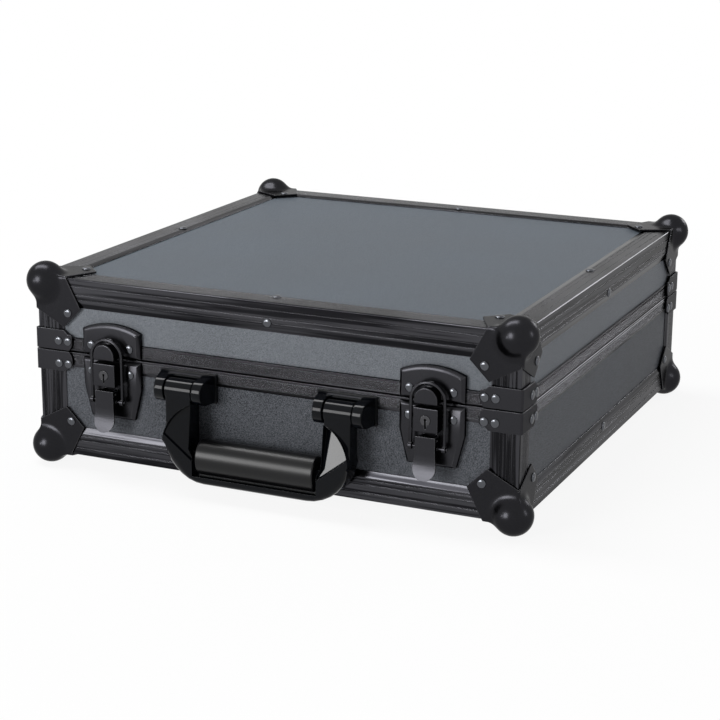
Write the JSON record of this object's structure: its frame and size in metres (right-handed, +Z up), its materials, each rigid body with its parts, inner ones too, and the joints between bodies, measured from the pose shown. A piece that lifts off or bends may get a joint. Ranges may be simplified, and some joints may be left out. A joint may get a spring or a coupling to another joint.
{
  "type": "foam-lined flight case",
  "caption": "Low hinged flight case with laminated panels, ribbed metal edges, ball corners, locking draw latches, a drop handle and a foam lining.",
  "frame": {"origin": "centre of the bounding box's underside, on the surface that the four lower ball corners stand on", "axes": "+X to the right seen from the latches, +Y from the latches to the hinges, +Z up"},
  "size_m": [0.442, 0.4625, 0.1716],
  "materials": {
    "panel_laminate": "plywood faced with matt grey speckled laminate",
    "profile_black": "black anodised, satin, finely ribbed",
    "steel_black": "black coated steel, satin",
    "plastic_gloss": "black, glossy",
    "grip_rubber": "black, matt",
    "lock_metal": "dark plated, satin",
    "foam_grey": "dark grey open-cell foam"
  },
  "bodies": {
    "base": {"base_bottom_panel": "panel_laminate", "base_wall_panels": "panel_laminate", "base_floor_foam": "foam_grey", "base_wall_foam": "foam_grey", "base_edge_profile_front": "profile_black", "base_edge_profile_back": "profile_black", "base_edge_profile_left": "profile_black", "base_edge_profile_right": "profile_black", "base_post_front_left": "profile_black", "base_post_front_right": "profile_black", "base_post_back_left": "profile_black", "base_post_back_right": "profile_black", "base_closing_profile": "profile_black", "base_ball_corner_front_left": "steel_black", "base_ball_corner_front_right": "steel_black", "base_ball_corner_back_left": "steel_black", "base_ball_corner_back_right": "steel_black", "base_corner_brace_front_left": "steel_black", "base_corner_brace_front_right": "steel_black", "base_corner_brace_back_left": "steel_black", "base_corner_brace_back_right": "steel_black", "latch_left_base_plate": "steel_black", "latch_right_base_plate": "steel_black", "handle_bracket_left": "plastic_gloss", "handle_bracket_right": "plastic_gloss", "hinge_left_base_leaf": "steel_black", "hinge_right_base_leaf": "steel_black"},
    "lid": {"lid_top_panel": "panel_laminate", "lid_wall_panels": "panel_laminate", "lid_egg_crate_foam": "foam_grey", "lid_edge_profile_front": "profile_black", "lid_edge_profile_back": "profile_black", "lid_edge_profile_left": "profile_black", "lid_edge_profile_right": "profile_black", "lid_post_front_left": "profile_black", "lid_post_front_right": "profile_black", "lid_post_back_left": "profile_black", "lid_post_back_right": "profile_black", "lid_closing_profile": "profile_black", "lid_ball_corner_front_left": "steel_black", "lid_ball_corner_front_right": "steel_black", "lid_ball_corner_back_left": "steel_black", "lid_ball_corner_back_right": "steel_black", "lid_corner_brace_front_left": "steel_black", "lid_corner_brace_front_right": "steel_black", "lid_corner_brace_back_left": "steel_black", "lid_corner_brace_back_right": "steel_black", "latch_left_keeper": "steel_black", "latch_right_keeper": "steel_black", "hinge_left_lid_leaf": "steel_black", "hinge_right_lid_leaf": "steel_black"},
    "handle": {"handle_loop": "plastic_gloss", "handle_grip": "grip_rubber"},
    "left_lever": {"latch_left_lever": "steel_black"},
    "left_bail": {"latch_left_bail": "steel_black"},
    "left_lock_core": {"latch_left_lock_core": "lock_metal"},
    "right_lever": {"latch_right_lever": "steel_black"},
    "right_bail": {"latch_right_bail": "steel_black"},
    "right_lock_core": {"latch_right_lock_core": "lock_metal"}
  },
  "joints": [
    {"name": "lid_hinge", "type": "hinge", "parent": "base", "child": "lid", "pos_m": [0, 0.22425, 0.0995], "axis": [-1, 0, 0], "range_deg": [0, 100]},
    {"name": "handle_swing", "type": "hinge", "parent": "base", "child": "handle", "pos_m": [0, -0.21555, 0.0838], "axis": [-1, 0, 0], "range_deg": [0, 90]},
    {"name": "left_lever_turn", "type": "hinge", "parent": "base", "child": "left_lever", "pos_m": [-0.1398, -0.21495, 0.0718], "axis": [-1, 0, 0], "range_deg": [0, 95]},
    {"name": "left_bail_turn", "type": "hinge", "parent": "left_lever", "child": "left_bail", "pos_m": [-0.1398, -0.21395, 0.0653], "axis": [-1, 0, 0], "range_deg": [-114, 0]},
    {"name": "left_lock_turn", "type": "hinge", "parent": "base", "child": "left_lock_core", "pos_m": [-0.1398, -0.21925, 0.0878], "axis": [0, 1, 0], "range_deg": [0, 90]},
    {"name": "right_lever_turn", "type": "hinge", "parent": "base", "child": "right_lever", "pos_m": [0.1398, -0.21495, 0.0718], "axis": [-1, 0, 0], "range_deg": [0, 95]},
    {"name": "right_bail_turn", "type": "hinge", "parent": "right_lever", "child": "right_bail", "pos_m": [0.1398, -0.21395, 0.0653], "axis": [-1, 0, 0], "range_deg": [-114, 0]},
    {"name": "right_lock_turn", "type": "hinge", "parent": "base", "child": "right_lock_core", "pos_m": [0.1398, -0.21925, 0.0878], "axis": [0, 1, 0], "range_deg": [0, 90]}
  ],
  "couplings": [
    {"joint": "left_bail_turn", "follows": "left_lever_turn", "ratio": -1.2},
    {"joint": "right_bail_turn", "follows": "right_lever_turn", "ratio": -1.2}
  ]
}
